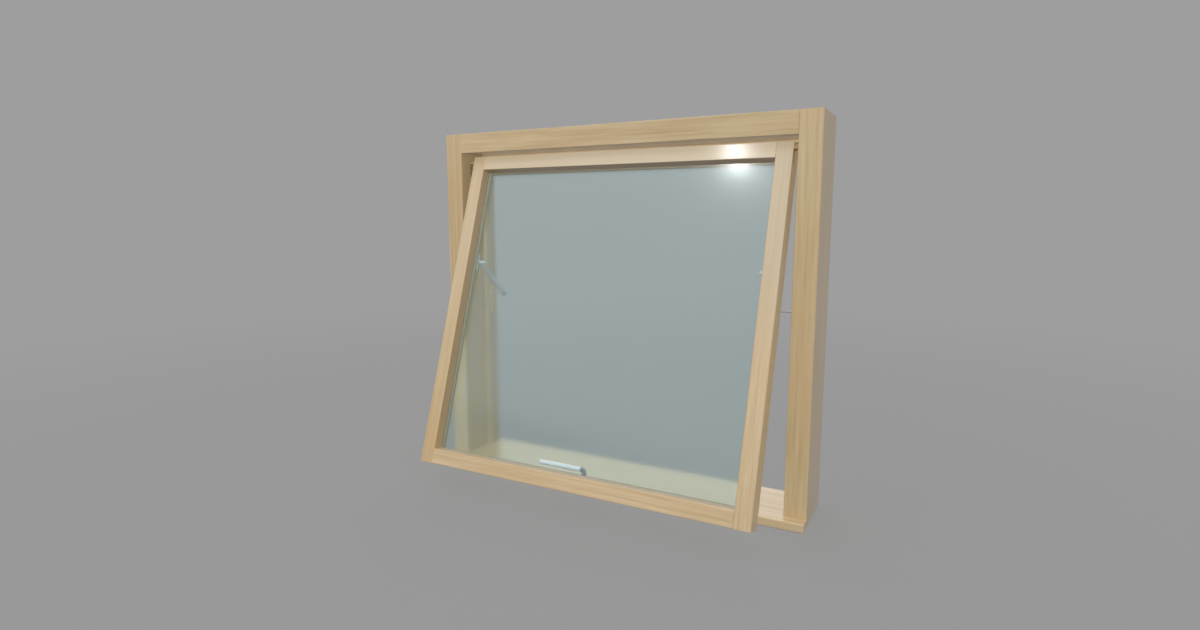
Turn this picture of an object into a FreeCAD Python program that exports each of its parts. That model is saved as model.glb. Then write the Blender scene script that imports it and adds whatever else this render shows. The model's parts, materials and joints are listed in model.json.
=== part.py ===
import FreeCAD, Part
import math
import os

Vector = FreeCAD.Vector

# A timber top hung awning window, sash standing open on its two stays.
# X runs across the window, Y from outdoors to indoors, Z up. All sizes are in millimetres.
# The origin is under the sill, at mid width, in line with the outdoor face of the jambs.
# The sash is drawn shut and then swung open about its pivots.

# Outer frame
frame_width = 1000.0
frame_height = 915.0
frame_depth = 148.0
jamb_face = 51.0
head_face = 51.0
frame_arris = 1.5
sill_thickness = 20.5
sill_nose = 28.0
sill_arris = 2.5
drip_width = 6.0
drip_depth = 5.0
drip_inset = 10.0

# Stop beads and the weather seal on them
stop_thickness = 13.0
stop_depth = 32.0
stop_gap = 14.7
seal_width = 8.0
seal_gap = 5.5

# Sash, with the gaps round it when it is shut
side_gap = 16.0
top_gap = 10.5
bottom_gap = 6.5
sash_setback = 32.8
sash_thickness = 48.5
stile_face = 37.8
rail_face = 36.8
sash_arris = 1.5
open_angle = 17.9

# Glazing
glass_setback = 27.0
rebate = 12.0
ledge_rise = 3.5
pane_thickness = 4.0
pane_space = 6.0
pane_clearance = 3.0
spacer_width = 3.5
bead_chamfer = 2.5

# Pivots, let in flush at the top corners
pivot_drop = 14.0
pivot_inset = 9.0
pivot_plate_width = 12.0
pivot_plate_height = 44.0
pivot_plate_thickness = 3.0
pivot_pin_radius = 3.5
pivot_boss_radius = 5.5
pivot_boss_length = 6.0
pivot_end_gap = 3.0
running_clearance = 0.05

# Stays: an arm on a bracket of the stile, with a roller in a routed block between two lengths of stop bead
stay_drop = 284.0
stay_standoff = 56.0
stay_reach = 95.0
stay_overhang = 0.8
arm_width = 12.0
arm_thickness = 4.0
arm_gap = 0.4
stay_pin_radius = 3.0
axle_radius = 2.2
bracket_width = 30.0
bracket_height = 46.0
bracket_plate = 3.0
lug_thickness = 4.0
lug_radius = 8.0
cap_radius = 5.5
cap_length = 13.0
cap_chamfer = 1.5
roller_radius = 4.0
roller_length = 7.0
roller_end_gap = 1.5
channel_cover = 4.5
channel_width = 16.0
channel_back = 1.5
channel_above = 24.0
channel_below = 57.0

# Handle on the bottom rail
handle_plate_width = 60.0
handle_plate_height = 22.0
handle_plate_thickness = 4.0
handle_plate_corner = 9.0
handle_boss_radius = 9.0
handle_boss_length = 6.0
handle_gap = 0.4
spindle_radius = 4.0
spindle_length = 18.0
hub_radius = 9.0
hub_length = 34.0
lever_length = 130.0
lever_rise = 36.0
lever_bend = 8.5
lever_radius = 5.7

# Places that follow from the sizes
frame_half = frame_width / 2
opening_half = frame_half - jamb_face
soffit = frame_height - head_face
sash_half = opening_half - side_gap
sash_top = soffit - top_gap
sash_bottom = sill_thickness + bottom_gap
sash_face = sash_setback + sash_thickness
sight_half = sash_half - stile_face
sight_top = sash_top - rail_face
sight_bottom = sash_bottom + rail_face
rebate_half = sight_half + rebate
rebate_top = sight_top + rebate
rebate_bottom = sight_bottom - rebate
glass_face = sash_setback + glass_setback
unit_thickness = 2 * pane_thickness + pane_space
bead_face = glass_face + unit_thickness
pivot_y = sash_setback + pivot_inset
pivot_z = sash_top - pivot_drop
stop_face_half = opening_half - stop_thickness
stop_setback = sash_face + stop_gap


def block(x0, x1, y0, y1, z0, z1):
    """A rectangular block between two opposite corners."""
    return Part.makeBox(x1 - x0, y1 - y0, z1 - z0, Vector(x0, y0, z0))


def prism(points, along):
    """A flat outline drawn out along a vector."""
    corners = [Vector(*point) for point in points]
    return Part.Face(Part.makePolygon(corners + corners[:1])).extrude(along)


def rod(radius, x0, x1, y, z):
    """A round bar across the window."""
    return Part.makeCylinder(radius, x1 - x0, Vector(x0, y, z), Vector(1, 0, 0))


def edges_through(shape, places):
    """The edges of a shape that pass through any of the places."""
    spots = [Part.Vertex(*place) for place in places]
    return [edge for edge in shape.Edges
            if any(edge.distToShape(spot)[0] < running_clearance for spot in spots)]


def eased(shape, radius, places):
    """The shape with the edges that pass through the places rounded off."""
    return shape.makeFillet(radius, edges_through(shape, places))


def other_side(shape):
    """The same piece for the left-hand side of the window."""
    return shape.mirror(Vector(), Vector(1, 0, 0))


def swung_open(shape):
    """A piece of the sash, swung out about the pivots."""
    return shape.rotated(Vector(0, pivot_y, pivot_z), Vector(1, 0, 0), -open_angle)


def frame_jamb():
    jamb = block(opening_half, frame_half, 0, frame_depth, sill_thickness, frame_height)
    jamb = eased(jamb, frame_arris,
                 [(x, y, soffit) for x in (opening_half, frame_half) for y in (0, frame_depth)])
    return jamb.cut(pivot_plate(opening_half, 1, running_clearance))


def frame_head():
    head = block(-opening_half, opening_half, 0, frame_depth, soffit, frame_height)
    return eased(head, frame_arris, [(0, y, z) for y in (0, frame_depth) for z in (soffit, frame_height)])


def frame_sill():
    sill = block(-frame_half, frame_half, -sill_nose, frame_depth, 0, sill_thickness)
    sill = eased(sill, sill_arris,
                 [(0, y, z) for y in (-sill_nose, frame_depth) for z in (0, sill_thickness)])
    groove_start = drip_inset - sill_nose
    groove = block(-frame_half, frame_half, groove_start, groove_start + drip_width, 0, drip_depth)
    return sill.cut(groove)


def stop_length(low, high):
    """A length of the side stop bead between two heights."""
    return block(stop_face_half, opening_half, stop_setback, stop_setback + stop_depth, low, high)


def side_stop():
    """Two lengths of stop bead, below and above the block that the stay's roller runs in."""
    return Part.makeCompound([stop_length(sill_thickness, channel_low - running_clearance),
                              stop_length(channel_high + running_clearance, soffit)])


def head_stop():
    return block(-stop_face_half, stop_face_half, stop_setback, stop_setback + stop_depth,
                 soffit - stop_thickness, soffit)


def seal_profile(across, start):
    """The D outline of the weather seal, with its flat back on the stop."""
    radius = seal_width / 2
    tip = sash_face + seal_gap
    shoulder = tip + radius
    low = start - across * radius
    high = start + across * radius
    back_low, back_high = (Vector(end.x, stop_setback, end.z) for end in (low, high))
    side_low, side_high = (Vector(end.x, shoulder, end.z) for end in (low, high))
    return Part.Face(Part.Wire([Part.LineSegment(back_low, side_low).toShape(),
                                Part.Arc(side_low, Vector(start.x, tip, start.z), side_high).toShape(),
                                Part.LineSegment(side_high, back_high).toShape(),
                                Part.LineSegment(back_high, back_low).toShape()]))


def side_seal():
    middle = opening_half - stop_thickness / 2
    profile = seal_profile(Vector(1, 0, 0), Vector(middle, 0, sill_thickness))
    return profile.extrude(Vector(0, 0, soffit - sill_thickness))


def head_seal():
    reach = opening_half - stop_thickness / 2 - seal_width / 2
    profile = seal_profile(Vector(0, 0, 1), Vector(-reach, 0, soffit - stop_thickness / 2))
    return profile.extrude(Vector(2 * reach, 0, 0))


def pivot_plate(face, outward, margin):
    """A round-ended plate let into a side face, going into the timber in the outward sense."""
    half = pivot_plate_width / 2 + margin
    span = pivot_plate_height / 2 - pivot_plate_width / 2
    x0, x1 = sorted((face, face + outward * pivot_plate_thickness))
    middle = pivot_z - span
    plate = block(x0, x1, pivot_y - half, pivot_y + half, middle - span, middle + span)
    for z in (middle - span, middle + span):
        plate = plate.fuse(rod(half, x0, x1, pivot_y, z))
    return plate.removeSplitter()


def jamb_pivot():
    tip = sash_half + pivot_end_gap
    return pivot_plate(opening_half, 1, 0).fuse(
        rod(pivot_pin_radius, tip, opening_half + pivot_plate_thickness, pivot_y, pivot_z)).removeSplitter()


def sash_pivot():
    plate = pivot_plate(sash_half, -1, 0)
    boss = rod(pivot_boss_radius, sash_half - pivot_plate_thickness, sash_half + pivot_boss_length,
               pivot_y, pivot_z)
    bore = rod(pivot_pin_radius + running_clearance, sash_half, sash_half + pivot_boss_length,
               pivot_y, pivot_z)
    return plate.fuse(boss).removeSplitter().cut(bore)


def sash_stile():
    stile = prism([(sash_half, sash_setback, sash_bottom),
                   (sight_half, sash_setback, sash_bottom),
                   (sight_half, glass_face, sash_bottom),
                   (rebate_half, glass_face, sash_bottom),
                   (rebate_half, sash_face, sash_bottom),
                   (sash_half, sash_face, sash_bottom)], Vector(0, 0, sash_top - sash_bottom))
    stile = eased(stile, sash_arris,
                  [(x, y, sight_top) for x, y in ((sight_half, sash_setback), (sash_half, sash_setback),
                                                  (sash_half, sash_face))])
    return stile.cut(pivot_plate(sash_half, -1, running_clearance))


def sash_top_rail():
    lip = block(-sight_half, sight_half, sash_setback, glass_face, sight_top, sash_top)
    core = block(-rebate_half, rebate_half, glass_face, sash_face, rebate_top, sash_top)
    return eased(lip.fuse(core).removeSplitter(), sash_arris,
                 [(0, y, z) for y, z in ((sash_setback, sight_top), (sash_setback, sash_top),
                                         (sash_face, sash_top))])


def sash_bottom_rail():
    lip = prism([(-sight_half, sash_setback, sash_bottom),
                 (-sight_half, sash_setback, sight_bottom),
                 (-sight_half, glass_face, sight_bottom + ledge_rise),
                 (-sight_half, glass_face, sash_bottom)], Vector(2 * sight_half, 0, 0))
    core = block(-rebate_half, rebate_half, glass_face, sash_face, sash_bottom, rebate_bottom)
    groove_start = sash_setback + drip_inset
    groove = block(-sight_half, sight_half, groove_start, groove_start + drip_width,
                   sash_bottom, sash_bottom + drip_depth)
    rail = eased(lip.fuse(core).removeSplitter(), sash_arris,
                 [(0, y, z) for y, z in ((sash_setback, sight_bottom), (sash_setback, sash_bottom),
                                         (sash_face, sash_bottom))])
    return rail.cut(groove)


def glass_pane(face):
    half = rebate_half - pane_clearance
    return block(-half, half, face, face + pane_thickness,
                 rebate_bottom + pane_clearance, rebate_top - pane_clearance)


def glass_spacer():
    half = rebate_half - pane_clearance
    low = rebate_bottom + pane_clearance
    high = rebate_top - pane_clearance
    front = glass_face + pane_thickness
    ring = block(-half, half, front, front + pane_space, low, high)
    hole = block(spacer_width - half, half - spacer_width, front, front + pane_space,
                 low + spacer_width, high - spacer_width)
    return ring.cut(hole)


def glazing_bead(outer_start, outer_end, inner_end, inner_start):
    """A mitred bead between two corners of the rebate, its room-side edge chamfered."""
    corners = [(x, bead_face, z) for x, z in (outer_start, outer_end, inner_end, inner_start)]
    bead = prism(corners, Vector(0, sash_face - bead_face, 0))
    middle = ((inner_start[0] + inner_end[0]) / 2, sash_face, (inner_start[1] + inner_end[1]) / 2)
    return bead.makeChamfer(bead_chamfer, edges_through(bead, [middle]))


def glazing_beads():
    """The four beads that hold the glass from indoors, by side."""
    ledge = sight_bottom + ledge_rise
    outer = [(-rebate_half, rebate_bottom), (rebate_half, rebate_bottom),
             (rebate_half, rebate_top), (-rebate_half, rebate_top)]
    inner = [(-sight_half, ledge), (sight_half, ledge), (sight_half, sight_top), (-sight_half, sight_top)]
    beads = {}
    for index, side in enumerate(("bottom", "right", "top", "left")):
        after = (index + 1) % 4
        beads[side] = glazing_bead(outer[index], outer[after], inner[after], inner[index])
    return beads


# The stay pins, with the sash shut and as it stands open
lug_inner = sight_half - stay_overhang
arm_outer = lug_inner - arm_gap
arm_inner = arm_outer - arm_thickness
stay_pin_y = sash_setback + stay_standoff
stay_pin_z = sash_top - stay_drop
stay_pin_open = Part.Vertex(0, stay_pin_y, stay_pin_z).rotated(
    Vector(0, pivot_y, pivot_z), Vector(1, 0, 0), -open_angle).Point
roller_y = stop_setback + channel_cover + channel_width / 2
roller_z = stay_pin_open.z - stay_reach
roller_outer = opening_half - channel_back - roller_end_gap
channel_low = roller_z - channel_below
channel_high = roller_z + channel_above
arm_length = math.hypot(roller_y - stay_pin_open.y, stay_reach)
arm_angle = math.degrees(math.atan2(roller_y - stay_pin_open.y, stay_reach))


def stay_bracket():
    """A plate on the stile with a lug, a pin through the arm's eye and a cap on the pin."""
    low = stay_pin_z - bracket_height / 2
    plate = block(lug_inner, lug_inner + bracket_width, sash_face, sash_face + bracket_plate,
                  low, low + bracket_height)
    lug = block(lug_inner, lug_inner + lug_thickness, sash_face, stay_pin_y,
                stay_pin_z - lug_radius, stay_pin_z + lug_radius)
    lug = lug.fuse(rod(lug_radius, lug_inner, lug_inner + lug_thickness, stay_pin_y, stay_pin_z))
    cap_end = arm_inner - arm_gap
    pin = rod(stay_pin_radius, cap_end, lug_inner, stay_pin_y, stay_pin_z)
    cap = rod(cap_radius, cap_end - cap_length, cap_end, stay_pin_y, stay_pin_z)
    rim = edges_through(cap, [(cap_end - cap_length, stay_pin_y, stay_pin_z + cap_radius)])
    cap = cap.makeChamfer(cap_chamfer, rim)
    return plate.fuse([lug, pin, cap]).removeSplitter()


def stay_arm():
    """The arm hanging straight down from the bracket's pin, then turned to meet the channel."""
    top = stay_pin_open
    foot = top.z - arm_length
    half = arm_width / 2
    bar = block(arm_inner, arm_outer, top.y - half, top.y + half, foot, top.z)
    for z in (foot, top.z):
        bar = bar.fuse(rod(half, arm_inner, arm_outer, top.y, z))
    bar = bar.fuse(rod(axle_radius, arm_outer, roller_outer, top.y, foot)).removeSplitter()
    bar = bar.cut(rod(stay_pin_radius + running_clearance, arm_inner, arm_outer, top.y, top.z))
    return bar.rotated(top, Vector(1, 0, 0), arm_angle)


def stay_roller():
    inner = roller_outer - roller_length
    roller = rod(roller_radius, inner, roller_outer, roller_y, roller_z)
    return roller.cut(rod(axle_radius + running_clearance, inner, roller_outer, roller_y, roller_z))


def stay_channel():
    """A block of the stop bead's section with a groove for the roller routed along its face."""
    groove_start = stop_setback + channel_cover
    groove = block(stop_face_half, opening_half - channel_back, groove_start, groove_start + channel_width,
                   channel_low, channel_high)
    return stop_length(channel_low, channel_high).cut(groove)


# The handle's centre, at mid height of the bottom rail's solid part
handle_z = (sash_bottom + rebate_bottom) / 2


def spoke(radius, y0, y1):
    """A round bar that stands out from the room side of the sash at the handle's centre."""
    return Part.makeCylinder(radius, y1 - y0, Vector(0, y0, handle_z), Vector(0, 1, 0))


def handle_base():
    half = handle_plate_width / 2
    low = handle_z - handle_plate_height / 2
    plate_face = sash_face + handle_plate_thickness
    high = low + handle_plate_height
    plate = block(-half, half, sash_face, plate_face, low, high)
    middle = (sash_face + plate_face) / 2
    plate = eased(plate, handle_plate_corner, [(x, middle, z) for x in (-half, half) for z in (low, high)])
    boss = spoke(handle_boss_radius, plate_face, plate_face + handle_boss_length)
    spindle = spoke(spindle_radius, plate_face, plate_face + handle_boss_length + spindle_length)
    return plate.fuse([boss, spindle]).removeSplitter()


def handle_lever():
    """A hub on the spindle and a round grip, bent up clear of the rail and then along it."""
    start = sash_face + handle_plate_thickness + handle_boss_length + handle_gap
    end = start + hub_length
    hub = spoke(hub_radius, start, end)
    foot = Vector(0, end - lever_radius, handle_z)
    turn = foot + Vector(0, 0, lever_rise - lever_bend)
    corner = foot + Vector(-lever_bend, 0, lever_rise)
    middle = corner + Vector(lever_bend * math.sqrt(0.5), 0, lever_bend * (math.sqrt(0.5) - 1))
    tip = foot + Vector(lever_radius - lever_length, 0, lever_rise)
    path = Part.Wire([Part.LineSegment(foot, turn).toShape(),
                      Part.Arc(turn, middle, corner).toShape(),
                      Part.LineSegment(corner, tip).toShape()])
    section = Part.Wire(Part.Circle(foot, Vector(0, 0, 1), lever_radius).toShape())
    grip = path.makePipe(Part.Face(section))
    lever = hub.fuse([grip, Part.makeSphere(lever_radius, tip)]).removeSplitter()
    return lever.cut(spoke(spindle_radius + running_clearance, start, start + spindle_length))


def pieces():
    """Every piece of the window by name, where it stands."""
    shapes = {"frame_head": frame_head(), "frame_sill": frame_sill(),
              "stop_head": head_stop(), "seal_head": head_seal()}
    sash = {"sash_top_rail": sash_top_rail(), "sash_bottom_rail": sash_bottom_rail(),
            "glass_outer": glass_pane(glass_face),
            "glass_inner": glass_pane(glass_face + pane_thickness + pane_space),
            "glass_spacer": glass_spacer(),
            "handle_base": handle_base(), "handle_lever": handle_lever()}
    for side, bead in glazing_beads().items():
        sash["glazing_bead_" + side] = bead
    fixed_pairs = {"frame_jamb": frame_jamb(), "stop": side_stop(), "seal": side_seal(),
                   "jamb_pivot": jamb_pivot(), "stay_channel": stay_channel(),
                   "stay_arm": stay_arm(), "stay_roller": stay_roller()}
    sash_pairs = {"sash_stile": sash_stile(), "sash_pivot": sash_pivot(), "stay_bracket": stay_bracket()}
    for name, shape in fixed_pairs.items():
        shapes[name + "_right"] = shape
        shapes[name + "_left"] = other_side(shape)
    for name, shape in sash_pairs.items():
        sash[name + "_right"] = shape
        sash[name + "_left"] = other_side(shape)
    for name, shape in sash.items():
        shapes[name] = swung_open(shape)
    return shapes


os.makedirs("parts", exist_ok=True)
for name, shape in pieces().items():
    shape.exportStep(os.path.join("parts", name + ".step"))
    print(name, len(shape.Solids), "solid", shape.isValid(), round(shape.Volume / 1000, 2), "cm3")
print("arm length", round(arm_length, 2), "arm angle", round(arm_angle, 2))
print("sash pivot", round(pivot_y, 2), round(pivot_z, 2))
print("stay pin", stay_pin_open, "roller", round(roller_y, 2), round(roller_z, 2))
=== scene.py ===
import json
import math
import bpy
import bmesh
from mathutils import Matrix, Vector


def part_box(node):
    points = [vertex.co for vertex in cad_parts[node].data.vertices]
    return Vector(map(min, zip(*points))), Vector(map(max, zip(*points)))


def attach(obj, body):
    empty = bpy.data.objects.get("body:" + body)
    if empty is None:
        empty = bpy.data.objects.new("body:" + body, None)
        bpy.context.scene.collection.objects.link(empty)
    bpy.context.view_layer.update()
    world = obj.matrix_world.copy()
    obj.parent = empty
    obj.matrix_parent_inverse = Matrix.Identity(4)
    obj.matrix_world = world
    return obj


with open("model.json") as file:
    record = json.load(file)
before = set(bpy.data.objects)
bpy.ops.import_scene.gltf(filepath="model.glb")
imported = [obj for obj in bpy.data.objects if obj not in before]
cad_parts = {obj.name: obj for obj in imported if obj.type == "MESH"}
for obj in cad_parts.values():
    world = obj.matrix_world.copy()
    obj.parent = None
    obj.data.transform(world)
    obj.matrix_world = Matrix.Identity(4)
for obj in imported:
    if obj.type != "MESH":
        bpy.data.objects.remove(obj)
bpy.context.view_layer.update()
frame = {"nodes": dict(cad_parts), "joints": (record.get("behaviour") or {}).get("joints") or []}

# A timber awning window with its sash standing open, finished as clear lacquered blond timber.
# All lengths are in metres. X runs across the window, Y from outdoors to indoors, Z up.

# Places on the sash, read from its hinge
joints = {joint["name"]: joint for joint in frame["joints"]}
sash_pivot = Vector(joints["sash_hinge"]["pos_m"])
open_angle = -math.radians(joints["sash_hinge"]["range_deg"][0])
pivot_drop = 0.014
pivot_inset = 0.009
sash_depth = 0.0485
room_side = Vector((0, math.cos(open_angle), -math.sin(open_angle)))
up_the_sash = Vector((0, math.sin(open_angle), math.cos(open_angle)))


def on_sash(sideways, drop, depth):
    """A point of the open sash: off its middle, below the sash's top, behind its outdoor face."""
    return (sash_pivot + Vector((sideways, 0, 0)) + room_side * (depth - pivot_inset)
            + up_the_sash * (pivot_drop - drop))


# Camera, where the photograph was taken from

photo_width = 1200
focal_pixels = 675.52
sensor_width = 36
camera = bpy.data.objects.new("camera", bpy.data.cameras.new("camera"))
bpy.context.scene.collection.objects.link(camera)
camera.location = (0.7652, -1.4797, 0.6880)
camera.rotation_euler = (math.radians(90 - 8.088), 0, math.radians(28.02))
camera.data.sensor_width = sensor_width
camera.data.lens = focal_pixels / photo_width * sensor_width
bpy.context.scene.camera = camera
bpy.context.scene.view_settings.view_transform = "Standard"


# Colours and node trees

def srgb(red, green, blue):
    """A colour from its 0 to 255 screen values."""
    shares = [value / 255 for value in (red, green, blue)]
    return [s / 12.92 if s <= 0.04045 else ((s + 0.055) / 1.055) ** 2.4 for s in shares] + [1]


def add(tree, kind, inputs=None, **settings):
    """A new node with its settings, and each input set to a value or joined to a socket."""
    node = tree.nodes.new(kind)
    for name, value in settings.items():
        setattr(node, name, value)
    for key, value in (inputs or {}).items():
        if isinstance(value, bpy.types.NodeSocket):
            tree.links.new(value, node.inputs[key])
        else:
            node.inputs[key].default_value = value
    return node


def math_of(tree, operation, first, second):
    """The result of a sum on two numbers or sockets."""
    return add(tree, "ShaderNodeMath", {0: first, 1: second}, operation=operation).outputs[0]


def scaled(tree, vector, factors):
    """A vector with each of its parts multiplied."""
    return add(tree, "ShaderNodeVectorMath", {0: vector, 1: factors}, operation="MULTIPLY").outputs[0]


def noise(tree, vector, scale, detail, roughness=0.5):
    """A noise from 0 to 1 that is centred on a half."""
    return add(tree, "ShaderNodeTexNoise", {"Vector": vector, "Scale": scale, "Detail": detail,
                                            "Roughness": roughness}).outputs["Fac"]


def blend(tree, factor, first, second):
    """Two colours blended by a factor."""
    return add(tree, "ShaderNodeMix", {0: factor, 6: first, 7: second}, data_type="RGBA").outputs[2]


def spread(tree, value, low, high, to_low=0.0, to_high=1.0):
    """A value's range moved smoothly to another range."""
    made = add(tree, "ShaderNodeMapRange", {0: value, 1: low, 2: high, 3: to_low, 4: to_high},
               interpolation_type="SMOOTHSTEP")
    return made.outputs[0]


def finish_of(name):
    """A new material, with its tree and its surface shader."""
    material = bpy.data.materials.new(name)
    material.use_nodes = True
    tree = material.node_tree
    return material, tree, tree.nodes["Principled BSDF"]


# Timber

def timber_figure():
    """The rings, streaks and fibres of blond timber whose grain runs along X, in three tones."""
    group = bpy.data.node_groups.new("timber_figure", "ShaderNodeTree")
    for socket, kind in (("Grain", "Vector"), ("Pale", "Color"), ("Deep", "Color"), ("Tan", "Color")):
        group.interface.new_socket(socket, in_out="INPUT", socket_type="NodeSocket" + kind)
    for socket, kind in (("Color", "Color"), ("Roughness", "Float"), ("Height", "Float")):
        group.interface.new_socket(socket, in_out="OUTPUT", socket_type="NodeSocket" + kind)
    given = add(group, "NodeGroupInput").outputs
    grain = given["Grain"]
    sway = add(group, "ShaderNodeTexNoise", {"Vector": scaled(group, grain, (0.9, 5, 5)), "Scale": 1.6,
                                             "Detail": 2})
    shift = scaled(group, sway.outputs["Color"], (0, 0.022, 0.022))
    swayed = add(group, "ShaderNodeVectorMath", {0: grain, 1: shift}).outputs[0]
    rings = add(group, "ShaderNodeTexWave", {"Vector": swayed, "Scale": 34, "Distortion": 1.6, "Detail": 2,
                                             "Detail Scale": 0.5},
                wave_type="RINGS", rings_direction="X", wave_profile="SAW").outputs["Fac"]
    late_wood = spread(group, rings, 0.45, 0.98)
    streaks = noise(group, scaled(group, swayed, (0.04, 1, 1)), 90, 4, 0.6)
    tone = noise(group, scaled(group, grain, (0.16, 1, 1)), 26, 2)
    fibres = noise(group, scaled(group, grain, (0.018, 1, 1)), 1300, 2, 0.6)
    depth = math_of(group, "MULTIPLY", late_wood, 0.17)
    depth = math_of(group, "ADD", depth, spread(group, streaks, 0.28, 0.76, 0.0, 0.62))
    depth = math_of(group, "ADD", depth, spread(group, fibres, 0.3, 0.7, 0.0, 0.20))
    colour = blend(group, depth, given["Pale"], given["Deep"])
    colour = blend(group, spread(group, tone, 0.42, 0.70, 0.0, 0.6), colour, given["Tan"])
    roughness = spread(group, fibres, 0.25, 0.75, 0.36, 0.50)
    height = math_of(group, "ADD", math_of(group, "MULTIPLY", late_wood, 0.4), fibres)
    add(group, "NodeGroupOutput", {"Color": colour, "Roughness": roughness, "Height": height})
    return group


figure = timber_figure()
along_x = (0, 0, 0)
along_z = (0, math.radians(90), 0)
rail_grain = (open_angle, 0, 0)
stile_grain = (open_angle, math.radians(90), 0)


# Painted shade and sheen: faces and stretches whose tone stands in for shade or sheen, with which way they
# look, how deep it reaches, its share and the tone itself
across = Vector((1, 0, 0))
upwards = Vector((0, 0, 1))
outwards = Vector((0, -1, 0))
skin = 0.0006
bead_depth = 0.012
painted_shade_and_sheen = {
    "frame_head": [(-upwards, skin, 0.85, srgb(170, 163, 158))],
    "frame_sill": [(outwards, skin, 0.60, srgb(203, 181, 144))],
    "frame_jamb_left": [(-upwards, 0.55, 0.60, srgb(209, 188, 154)),
                        (across, skin, 0.70, srgb(189, 171, 136))],
    "frame_jamb_right": [(-across, skin, 0.70, srgb(189, 171, 136)),
                         (across, skin, 0.50, srgb(181, 152, 108))],
    "sash_top_rail": [(-across, 0.30, 0.60, srgb(196, 177, 144)),
                      (-up_the_sash, skin, 0.85, srgb(196, 160, 116))],
    "sash_stile_left": [(up_the_sash, 0.60, 0.50, srgb(197, 179, 150)),
                        (across, skin, 0.60, srgb(208, 178, 134))],
    "sash_stile_right": [(up_the_sash, 0.55, 0.70, srgb(193, 178, 151))],
    "stop_left": [(across, skin, 0.75, srgb(170, 158, 130))],
}
# Painted shade on the glazing beads' front and inner faces, as they look seen through the glass
for place, tone in (("top", srgb(140, 122, 97)), ("bottom", srgb(174, 172, 158)),
                    ("left", srgb(156, 156, 144)), ("right", srgb(174, 172, 158))):
    painted_shade_and_sheen["glazing_bead_" + place] = [(-room_side, bead_depth, 0.85, tone)]


def timber(name, tones, grain_turn, heart):
    """Lacquered timber with the grain turned along its member and the tree's heart at a chosen place, with
    painted shade and sheen on the listed faces.
    """
    material, tree, surface = finish_of(name)
    place = add(tree, "ShaderNodeTexCoord").outputs["Object"]
    grain = add(tree, "ShaderNodeMapping", {"Vector": place, "Location": heart,
                                            "Rotation": grain_turn}).outputs[0]
    wood = add(tree, "ShaderNodeGroup", node_tree=figure)
    tree.links.new(grain, wood.inputs["Grain"])
    for socket, tone in zip(("Pale", "Deep", "Tan"), tones):
        wood.inputs[socket].default_value = tone
    bump = add(tree, "ShaderNodeBump", {"Height": wood.outputs["Height"], "Strength": 0.12,
                                        "Distance": 0.0004})
    colour = wood.outputs["Color"]
    # Painted shade and sheen: the listed faces blend towards their tone
    for direction, over, share, tone in painted_shade_and_sheen.get(name, ()):
        furthest = max(vertex.co.dot(direction) for vertex in frame["nodes"][name].data.vertices)
        reach = add(tree, "ShaderNodeVectorMath", {0: place, 1: direction}, operation="DOT_PRODUCT")
        painted_light_share = spread(tree, reach.outputs["Value"], furthest - over, furthest - over / 3, 0.0, share)
        colour = blend(tree, painted_light_share, colour, tone)
    tree.links.new(colour, surface.inputs["Base Color"])
    tree.links.new(wood.outputs["Roughness"], surface.inputs["Roughness"])
    tree.links.new(bump.outputs[0], surface.inputs["Normal"])
    surface.inputs["Coat Weight"].default_value = 0.8
    surface.inputs["Coat Roughness"].default_value = 0.14
    return material


honey = (srgb(203, 180, 140), srgb(171, 143, 98), srgb(194, 163, 120))
# A darker copy of the honey tones: painted shade on the sash's left stile
painted_shade_tawny = (srgb(196, 173, 133), srgb(164, 137, 93), srgb(187, 156, 114))
amber = (srgb(208, 186, 146), srgb(177, 151, 106), srgb(200, 170, 128))
blond = (srgb(203, 181, 146), srgb(171, 145, 104), srgb(195, 165, 127))
pale = (srgb(209, 190, 160), srgb(179, 155, 118), srgb(201, 175, 142))
# A paler, greyer copy of the timber tones: painted sheen on the sash's top rail
painted_sheen_linen = (srgb(204, 189, 163), srgb(196, 178, 149), srgb(202, 184, 157))
timber_members = {
    "frame_head": (honey, along_x, (0.31, 0.055, -0.80)),
    "frame_sill": (blond, along_x, (1.47, 0.030, 0.085)),
    "frame_jamb_left": (honey, along_z, (0.83, 0.060, -0.395)),
    "frame_jamb_right": (amber, along_z, (2.21, 0.045, 0.570)),
    "stop_head": (pale, along_x, (3.05, -0.04, -0.79)),
    "stop_left": (blond, along_z, (4.12, -0.02, -0.38)),
    "stop_right": (pale, along_z, (5.36, -0.03, 0.51)),
    # The top rail takes the paler tones, a painted sheen
    "sash_top_rail": (painted_sheen_linen, rail_grain, (6.44, 0.33, -0.72)),
    "sash_bottom_rail": (blond, rail_grain, (7.18, 0.22, 0.06)),
    # The left stile takes the darker tones, a painted shade
    "sash_stile_left": (painted_shade_tawny, stile_grain, (8.61, 0.28, -0.35)),
    "sash_stile_right": (blond, stile_grain, (9.27, 0.25, 0.48)),
    "glazing_bead_top": (blond, rail_grain, (10.4, 0.20, -0.70)),
    "glazing_bead_bottom": (blond, rail_grain, (11.3, 0.22, 0.05)),
    "glazing_bead_left": (blond, stile_grain, (12.2, 0.27, -0.34)),
    "glazing_bead_right": (blond, stile_grain, (13.6, 0.24, 0.45)),
}


# Glass, rubber, metal and nylon

glass_body = (0.875, 0.969, 0.971, 1)
glass_bending = 1.52
film_bending = 1.6
film_roughness = 0.23
arm_outer_face = (0.3942, 0.3950)
lever_neck_side = (0.0090, 0.0105)


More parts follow.
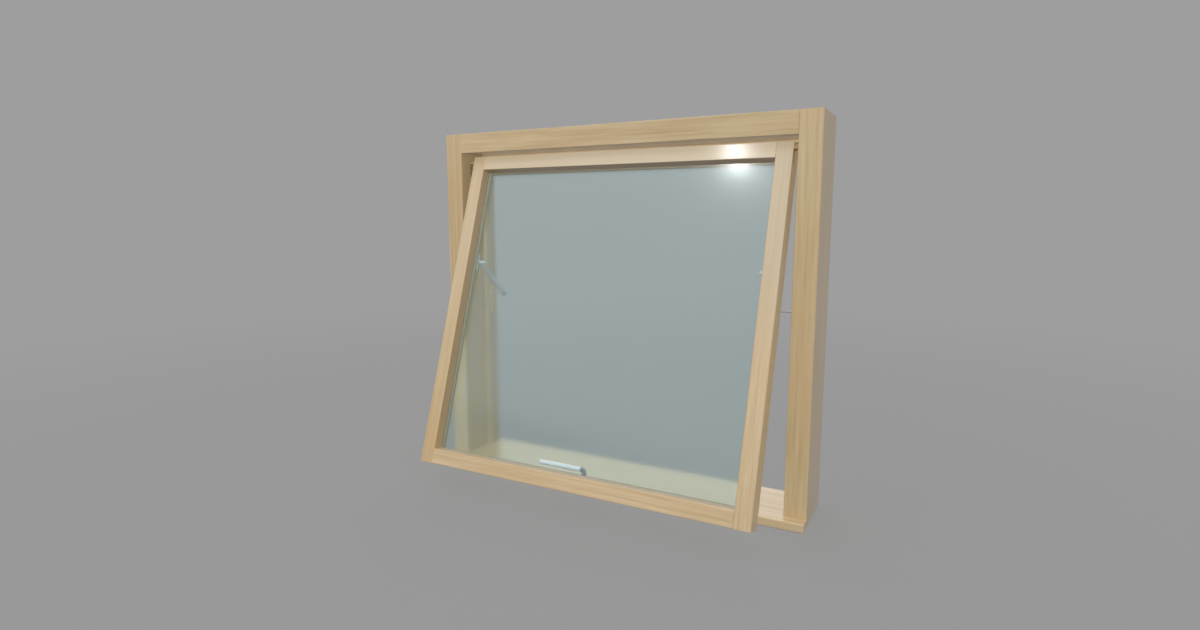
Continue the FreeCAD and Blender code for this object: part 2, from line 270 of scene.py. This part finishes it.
def pane_glass(name, roughness, film_weight):
    """Glass with a faint blue green body; a thin film spreads reflections and dust varies its polish."""
    material, tree, surface = finish_of(name)
    place = add(tree, "ShaderNodeTexCoord").outputs["Object"]
    dust = noise(tree, place, 7, 4)
    tree.links.new(spread(tree, dust, 0.3, 0.7, roughness * 0.94, roughness * 1.06),
                   surface.inputs["Roughness"])
    surface.inputs["Base Color"].default_value = glass_body
    surface.inputs["Transmission Weight"].default_value = 1
    surface.inputs["Coat Weight"].default_value = film_weight
    surface.inputs["Coat Roughness"].default_value = film_roughness
    surface.inputs["Coat IOR"].default_value = film_bending
    surface.inputs["IOR"].default_value = glass_bending
    return material


def brushed_metal(name, colour, roughness, brush_turn, brush_scale=900, metallic=1.0, further_out=None):
    """Metal brushed along one direction, faintly cloudy; its tone can change further out from mid width."""
    material, tree, surface = finish_of(name)
    place = add(tree, "ShaderNodeTexCoord").outputs["Object"]
    turned = add(tree, "ShaderNodeMapping", {"Vector": place, "Rotation": brush_turn}).outputs[0]
    brush = noise(tree, scaled(tree, turned, (0.03, 1, 1)), brush_scale, 2)
    cloud = noise(tree, place, 40, 3)
    tint = blend(tree, spread(tree, cloud, 0.3, 0.7), colour, [c * 0.9 for c in colour[:3]] + [1])
    if further_out:
        start, end, other_colour = further_out
        off_middle = math_of(tree, "ABSOLUTE", add(tree, "ShaderNodeSeparateXYZ", {0: place}).outputs["X"], 0)
        tint = blend(tree, spread(tree, off_middle, start, end), tint, other_colour)
    bump = add(tree, "ShaderNodeBump", {"Height": brush, "Strength": 0.06, "Distance": 0.0002})
    tree.links.new(tint, surface.inputs["Base Color"])
    tree.links.new(spread(tree, brush, 0.25, 0.75, roughness * 0.85, roughness * 1.2),
                   surface.inputs["Roughness"])
    tree.links.new(bump.outputs[0], surface.inputs["Normal"])
    surface.inputs["Metallic"].default_value = metallic
    return material


def moulded(name, colour, roughness, grain_scale):
    """Rubber or plastic with a fine moulded skin."""
    material, tree, surface = finish_of(name)
    place = add(tree, "ShaderNodeTexCoord").outputs["Object"]
    moulding = noise(tree, place, grain_scale, 3)
    shade = noise(tree, place, 22, 2)
    tint = blend(tree, spread(tree, shade, 0.3, 0.7), colour, [c * 0.82 for c in colour[:3]] + [1])
    bump = add(tree, "ShaderNodeBump", {"Height": moulding, "Strength": 0.1, "Distance": 0.0002})
    tree.links.new(tint, surface.inputs["Base Color"])
    tree.links.new(spread(tree, moulding, 0.3, 0.7, roughness * 0.9, roughness * 1.1),
                   surface.inputs["Roughness"])
    tree.links.new(bump.outputs[0], surface.inputs["Normal"])
    return material


outer_glass = pane_glass("outer_glass", 0.125, 0.5)
inner_glass = pane_glass("inner_glass", 0.07, 0.0)
stay_steel = brushed_metal("stay_steel", srgb(222, 226, 228), 0.36, along_z, metallic=0.35)
arm_steel = brushed_metal("arm_steel", srgb(202, 208, 208), 0.36, along_z, metallic=0.35,
                          further_out=(*arm_outer_face, srgb(180, 180, 180)))
pivot_bronze = brushed_metal("pivot_bronze", srgb(184, 160, 124), 0.62, along_z, metallic=0.2)
spacer_strip = moulded("spacer_strip", srgb(166, 148, 118), 0.70, 700)
handle_grey = brushed_metal("handle_grey", srgb(126, 132, 142), 0.36, along_x, 1400, 0.5)
lever_silver = brushed_metal("lever_silver", srgb(126, 132, 142), 0.30, along_x, 1400, 0.12,
                             further_out=(*lever_neck_side, srgb(252, 248, 251)))
screw_steel = brushed_metal("screw_steel", srgb(190, 194, 198), 0.28, along_x, 2200)
rivet_steel = brushed_metal("rivet_steel", srgb(128, 136, 146), 0.42, along_x, 1600)
seal_rubber = moulded("seal_rubber", srgb(204, 185, 151), 0.62, 900)
roller_nylon = moulded("roller_nylon", srgb(226, 223, 214), 0.42, 600)

finishes = {name: timber(name, *details) for name, details in timber_members.items()}
finishes.update({"glass_outer": outer_glass, "glass_inner": inner_glass, "glass_spacer": spacer_strip,
                 "handle_base": handle_grey, "handle_lever": lever_silver, "seal_head": seal_rubber})
for side in ("left", "right"):
    finishes.update({"seal_" + side: seal_rubber, "jamb_pivot_" + side: pivot_bronze,
                     "sash_pivot_" + side: pivot_bronze, "stay_bracket_" + side: stay_steel,
                     "stay_arm_" + side: arm_steel, "stay_roller_" + side: roller_nylon,
                     "stay_channel_" + side: finishes["stop_" + side]})
for name, node in frame["nodes"].items():
    node.data.materials.clear()
    node.data.materials.append(finishes[name])
for name in ("glass_outer", "glass_inner"):
    frame["nodes"][name].visible_shadow = False


# Screws and pins: each is one point that knows which way its head faces and how large the head is

def fixing_head(name, recess_turns):
    """A tree that puts a domed head on every point, with a recess cut along each of the turns."""
    tree = bpy.data.node_groups.new(name, "GeometryNodeTree")
    for socket, in_out, kind in (("Geometry", "INPUT", "Geometry"), ("Recess Length", "INPUT", "Float"),
                                 ("Recess Width", "INPUT", "Float"), ("Finish", "INPUT", "Material"),
                                 ("Geometry", "OUTPUT", "Geometry")):
        tree.interface.new_socket(socket, in_out=in_out, socket_type="NodeSocket" + kind)
    given = add(tree, "NodeGroupInput").outputs
    head = add(tree, "GeometryNodeMeshCircle", {"Vertices": 28, "Radius": 1.0}, fill_type="NGON").outputs[0]
    for rise, share in ((0.40, 0.97), (0.35, 0.87), (0.25, 0.66)):
        step = add(tree, "GeometryNodeExtrudeMesh", {"Mesh": head, "Offset Scale": rise})
        head = add(tree, "GeometryNodeScaleElements", {"Geometry": step.outputs["Mesh"],
                                                       "Selection": step.outputs["Top"],
                                                       "Scale": share}).outputs[0]
    for turn in recess_turns:
        size = add(tree, "ShaderNodeCombineXYZ", {"X": given["Recess Length"], "Y": given["Recess Width"],
                                                  "Z": 1.4}).outputs[0]
        bit = add(tree, "GeometryNodeMeshCube", {"Size": size}).outputs[0]
        bit = add(tree, "GeometryNodeTransform", {"Geometry": bit, "Translation": (0, 0, 1.0),
                                                  "Rotation": (0, 0, math.radians(turn))}).outputs[0]
        cut = add(tree, "GeometryNodeMeshBoolean", {"Mesh 1": head}, operation="DIFFERENCE")
        tree.links.new(bit, cut.inputs["Mesh 2"])
        head = cut.outputs["Mesh"]
    facing, head_size = (add(tree, "GeometryNodeInputNamedAttribute", {"Name": kept},
                             data_type="FLOAT_VECTOR") for kept in ("facing", "size"))
    aim = add(tree, "FunctionNodeAlignRotationToVector", {"Vector": facing.outputs[0]}, axis="Z").outputs[0]
    spin = add(tree, "FunctionNodeRandomValue", {"Seed": 5}, data_type="FLOAT").outputs["Value"]
    turn = add(tree, "FunctionNodeAxisAngleToRotation", {"Axis": (0, 0, 1),
                                                         "Angle": math_of(tree, "MULTIPLY", spin, math.pi)})
    aim = add(tree, "FunctionNodeRotateRotation", {"Rotation": aim, "Rotate By": turn.outputs[0]},
              rotation_space="LOCAL").outputs[0]
    heads = add(tree, "GeometryNodeInstanceOnPoints", {"Points": given["Geometry"], "Instance": head,
                                                       "Rotation": aim,
                                                       "Scale": head_size.outputs[0]}).outputs[0]
    whole = add(tree, "GeometryNodeRealizeInstances", {"Geometry": heads}).outputs[0]
    whole = add(tree, "GeometryNodeSetMaterial", {"Geometry": whole, "Material": given["Finish"]}).outputs[0]
    add(tree, "NodeGroupOutput", {"Geometry": whole})
    return tree


def fixings(name, body, tree, finish, places):
    """One mesh of fixings on a body, from the place, facing, radius and height of each head."""
    points = bpy.data.meshes.new(name + "_points")
    points.from_pydata([place for place, facing, radius, height in places], [], [])
    for kept, values in (("facing", [facing for place, facing, radius, height in places]),
                         ("size", [(radius, radius, height) for place, facing, radius, height in places])):
        stored = points.attributes.new(kept, "FLOAT_VECTOR", "POINT")
        stored.data.foreach_set("vector", [part for value in values for part in value])
    maker = bpy.data.objects.new(name + "_points", points)
    bpy.context.scene.collection.objects.link(maker)
    heads = maker.modifiers.new("heads", "NODES")
    heads.node_group = tree
    sockets = {item.name: item.identifier for item in tree.interface.items_tree if item.in_out == "INPUT"}
    for socket, value in (("Recess Length", 1.15), ("Recess Width", 0.26), ("Finish", finish)):
        heads[sockets[socket]] = value
    seen = maker.evaluated_get(bpy.context.evaluated_depsgraph_get())
    piece = bpy.data.objects.new(name, bpy.data.meshes.new_from_object(seen))
    bpy.data.objects.remove(maker)
    bpy.context.scene.collection.objects.link(piece)
    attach(piece, body)


# Sizes of the heads as radius and height, and where the screws and pins sit
raised_head = (0.0031, 0.0013)
flush_head = (0.0029, 0.0005)
bead_pin_head = (0.0011, 0.0002)
axle_head = (0.0036, 0.0010)
opening_half = 0.449
sash_half = 0.433
arm_inner = 0.390
pivot_screws_below = (0.0135, 0.0265)
bracket_plate = 0.003
bracket_screws_across = 0.4150
bracket_screw_drops = (0.2695, 0.2985)
handle_plate = 0.004
handle_screws_across = 0.022
handle_screws_drop = 0.8141
stile_pins_across = 0.4012
stile_pin_drops = (0.075, 0.205, 0.335, 0.465, 0.595, 0.725)
rail_pin_spacing = 0.122
rail_pin_drops = (0.0308, 0.7940)
screw_head = fixing_head("screw_head", (0, 90))
pin_head = fixing_head("pin_head", ())
hands = (("left", -1), ("right", 1))
frame_screws, sash_screws, bead_pins = [], [], []
for _, hand in hands:
    for below in pivot_screws_below:
        frame_screws.append((Vector((hand * opening_half, sash_pivot.y, sash_pivot.z - below)),
                             -hand * across, *flush_head))
        sash_screws.append((on_sash(hand * sash_half, pivot_drop + below, pivot_inset),
                            hand * across, *flush_head))
    for drop in bracket_screw_drops:
        sash_screws.append((on_sash(hand * bracket_screws_across, drop, sash_depth + bracket_plate),
                            room_side, *raised_head))
    sash_screws.append((on_sash(hand * handle_screws_across, handle_screws_drop, sash_depth + handle_plate),
                        room_side, *raised_head))
    for drop in stile_pin_drops:
        bead_pins.append((on_sash(hand * stile_pins_across, drop, sash_depth), room_side, *bead_pin_head))
for step in range(-3, 4):
    for drop in rail_pin_drops:
        bead_pins.append((on_sash(step * rail_pin_spacing, drop, sash_depth), room_side, *bead_pin_head))
fixings("frame_screws", "frame", screw_head, screw_steel, frame_screws)
fixings("sash_screws", "sash", screw_head, screw_steel, sash_screws)
fixings("bead_pins", "sash", pin_head, screw_steel, bead_pins)
for side, hand in hands:
    low, high = (Vector(corner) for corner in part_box("stay_roller_" + side))
    axle = (low + high) / 2
    fixings("axle_rivet_" + side, "stay_" + side, pin_head, rivet_steel,
            [(Vector((hand * arm_inner, axle.y, axle.z)), -hand * across, *axle_head)])


# Studio: floor, background and lamps

near_grey = srgb(152, 152, 152)
far_grey = srgb(158, 158, 158)
floor_paint = (0.29, 0.29, 0.29, 1)
floor_radius = 40
floor_drop = 0.0006


def studio_floor():
    """A wide round floor, which takes the window's shadow and fades into the plain background."""
    shape = bmesh.new()
    bmesh.ops.create_circle(shape, cap_ends=True, segments=96, radius=floor_radius)
    mesh = bpy.data.meshes.new("studio_floor")
    shape.to_mesh(mesh)
    shape.free()
    floor = bpy.data.objects.new("studio_floor", mesh)
    bpy.context.scene.collection.objects.link(floor)
    floor.location.z = -floor_drop
    material, tree, surface = finish_of("studio_floor")
    place = add(tree, "ShaderNodeTexCoord").outputs["Object"]
    reach = add(tree, "ShaderNodeVectorMath", {0: place}, operation="LENGTH").outputs["Value"]
    tree.nodes.remove(surface)
    paint = add(tree, "ShaderNodeBsdfDiffuse", {"Color": floor_paint})
    grey = blend(tree, spread(tree, reach, 0.6, 4.5), near_grey, far_grey)
    glow = add(tree, "ShaderNodeEmission", {"Color": grey})
    mix = add(tree, "ShaderNodeMixShader", {0: spread(tree, reach, 0.5, 1.6, 0.5, 1.0), 1: paint.outputs[0],
                                            2: glow.outputs[0]})
    tree.links.new(mix.outputs[0], tree.nodes["Material Output"].inputs["Surface"])
    mesh.materials.append(material)


def studio_world(ambient):
    """Even light all round, with a plain grey background to look at, in mirrors and through glass too."""
    world = bpy.data.worlds.new("studio")
    world.use_nodes = True
    tree = world.node_tree
    path = add(tree, "ShaderNodeLightPath")
    seen = math_of(tree, "MAXIMUM", path.outputs["Is Camera Ray"], path.outputs["Is Glossy Ray"])
    seen = math_of(tree, "MAXIMUM", seen, path.outputs["Is Transmission Ray"])
    light = tree.nodes["Background"]
    light.inputs["Color"].default_value = (1, 1, 1, 1)
    light.inputs["Strength"].default_value = ambient
    plain = add(tree, "ShaderNodeBackground", {"Color": far_grey, "Strength": 1})
    mix = add(tree, "ShaderNodeMixShader", {0: seen, 1: light.outputs[0], 2: plain.outputs[0]})
    tree.links.new(mix.outputs[0], tree.nodes["World Output"].inputs["Surface"])
    bpy.context.scene.world = world


def lamp(name, kind, place, target, energy, **settings):
    """A lamp that looks at a target and that the camera never sees."""
    data = bpy.data.lights.new(name, kind)
    data.energy = energy
    made = bpy.data.objects.new(name, data)
    for key, value in settings.items():
        setattr(data if hasattr(data, key) else made, key, value)
    made.location = place
    made.rotation_euler = (Vector(target) - Vector(place)).to_track_quat("-Z", "Y").to_euler()
    made.visible_camera = False
    bpy.context.scene.collection.objects.link(made)


def soft_panel(name, place, target, width, height, brightness, **settings):
    """A soft panel whose face is as bright as a sheet of paper of that brightness."""
    lamp(name, "AREA", place, target, math.pi * brightness * width * height, shape="RECTANGLE",
         size=width, size_y=height, visible_transmission=False, **settings)


def even_light(name, towards):
    """A wide even light without shadows, as strong as the vector towards it is long."""
    lamp(name, "SUN", Vector(window_middle) + Vector(towards), window_middle, Vector(towards).length,
         angle=math.radians(20), use_shadow=False, visible_glossy=False, visible_transmission=False)


window_middle = (0, 0, 0.45)
highlight_place = on_sash(0.333, 0.013, 0)
to_highlight = Vector((-0.301, -0.715, 0.631))
highlight_distance = 2.6
highlight_power = 2.5
ambient_light = 0.42
studio_floor()
studio_world(ambient_light)
even_light("front_light", (0.74, -1.28, 1.70))
even_light("back_light", (-0.65, 0.85, 0.0))
soft_panel("front_panel", (-1.5, -2.6, 2.2), window_middle, 3.6, 2.8, 0.66, use_shadow=False)
soft_panel("back_panel", (-1.4, 3.0, 1.75), (-0.9, 0, 1.2), 3.0, 1.3, 1.2)
lamp("highlight", "AREA", highlight_place + to_highlight * highlight_distance, highlight_place,
     highlight_power, shape="DISK", size=0.10, use_shadow=False)
